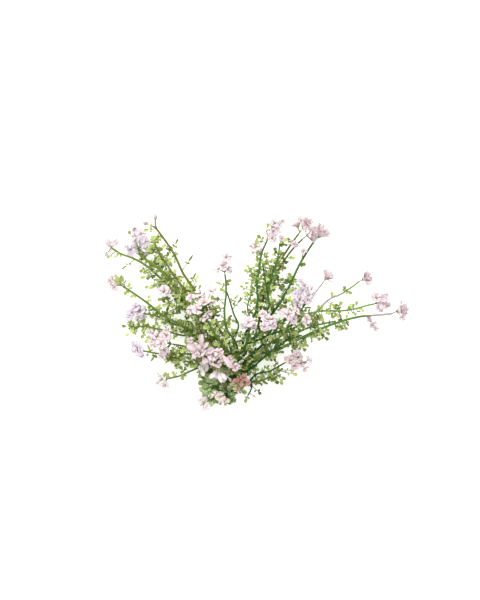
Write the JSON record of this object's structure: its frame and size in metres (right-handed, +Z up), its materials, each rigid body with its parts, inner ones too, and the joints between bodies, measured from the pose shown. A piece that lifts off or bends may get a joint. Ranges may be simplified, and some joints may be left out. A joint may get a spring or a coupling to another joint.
{
  "type": "gypsophila stem",
  "caption": "Cut gypsophila stem lying down: thin arching sprays with small spoon-shaped leaves and clusters of pale pink blossoms, for a bunch or an arrangement.",
  "frame": {"origin": "centre of the bounding box at its base, on the surface that the stem lies on", "axes": "+X to the right and +Y towards the upper tips as the picture shows the spray, +Z up from the surface"},
  "size_m": [0.3059, 0.1965, 0.0641],
  "materials": {
    "stem_green": "matte",
    "leaf_green": "matte",
    "leaf_lime": "matte",
    "petal_pink": "matte",
    "petal_lilac": "matte",
    "petal_coral": "matte",
    "petal_cream": "matte"
  },
  "bodies": {
    "root": {"main_stem": "stem_green", "spray_upper_left_arch": "leaf_lime", "spray_upper_left": "leaf_green", "spray_left_high": "leaf_green", "spray_left_mid": "leaf_lime", "spray_left_front": "leaf_green", "spray_left_low": "leaf_lime", "spray_left_bottom": "leaf_lime", "spray_centre_tall": "leaf_green", "spray_centre_left": "leaf_green", "spray_centre_front": "leaf_lime", "spray_top": "leaf_green", "spray_upper_right": "leaf_green", "spray_right_top": "leaf_green", "spray_right_high": "leaf_green", "spray_right_long": "leaf_green", "spray_right_low": "leaf_green", "spray_centre_right": "leaf_green", "spray_bottom": "leaf_green", "spray_bottom_right": "leaf_green", "spray_heart_left": "leaf_green", "spray_heart_right": "leaf_green", "bloom_upper_left_near": "petal_lilac", "bloom_upper_left_far": "petal_pink", "bloom_upper_left_side": "petal_pink", "bloom_left_high": "petal_pink", "bloom_left_mid": "petal_lilac", "bloom_left_front": "petal_pink", "bloom_left_low": "petal_lilac", "bloom_left_bottom": "petal_pink", "bloom_centre_tall": "petal_pink", "bloom_centre_left": "petal_pink", "bloom_centre_front_left": "petal_pink", "bloom_centre_front": "petal_pink", "bloom_centre_front_right": "petal_pink", "bloom_top_left": "petal_pink", "bloom_top": "petal_pink", "bloom_top_right": "petal_pink", "bloom_crown_right": "petal_pink", "bloom_crown_centre": "petal_pink", "bloom_crown_left": "petal_pink", "floret_right": "petal_pink", "floret_centre": "petal_pink", "bloom_right_top": "petal_lilac", "bloom_right_top_tip": "petal_pink", "bloom_right_high": "petal_pink", "bloom_right_far": "petal_pink", "bloom_right_tip": "petal_pink", "bloom_right_hanging": "petal_pink", "bloom_right_low": "petal_pink", "bloom_heart_left": "petal_pink", "bloom_heart_centre": "petal_pink", "bloom_heart_right": "petal_pink", "bloom_heart_side": "petal_pink", "bloom_bottom_left": "petal_pink", "bloom_bottom_cream": "petal_cream", "bloom_low_pale": "petal_pink", "bloom_low_pale_side": "petal_pink", "bloom_bottom_coral": "petal_coral"}
  },
  "joints": []
}
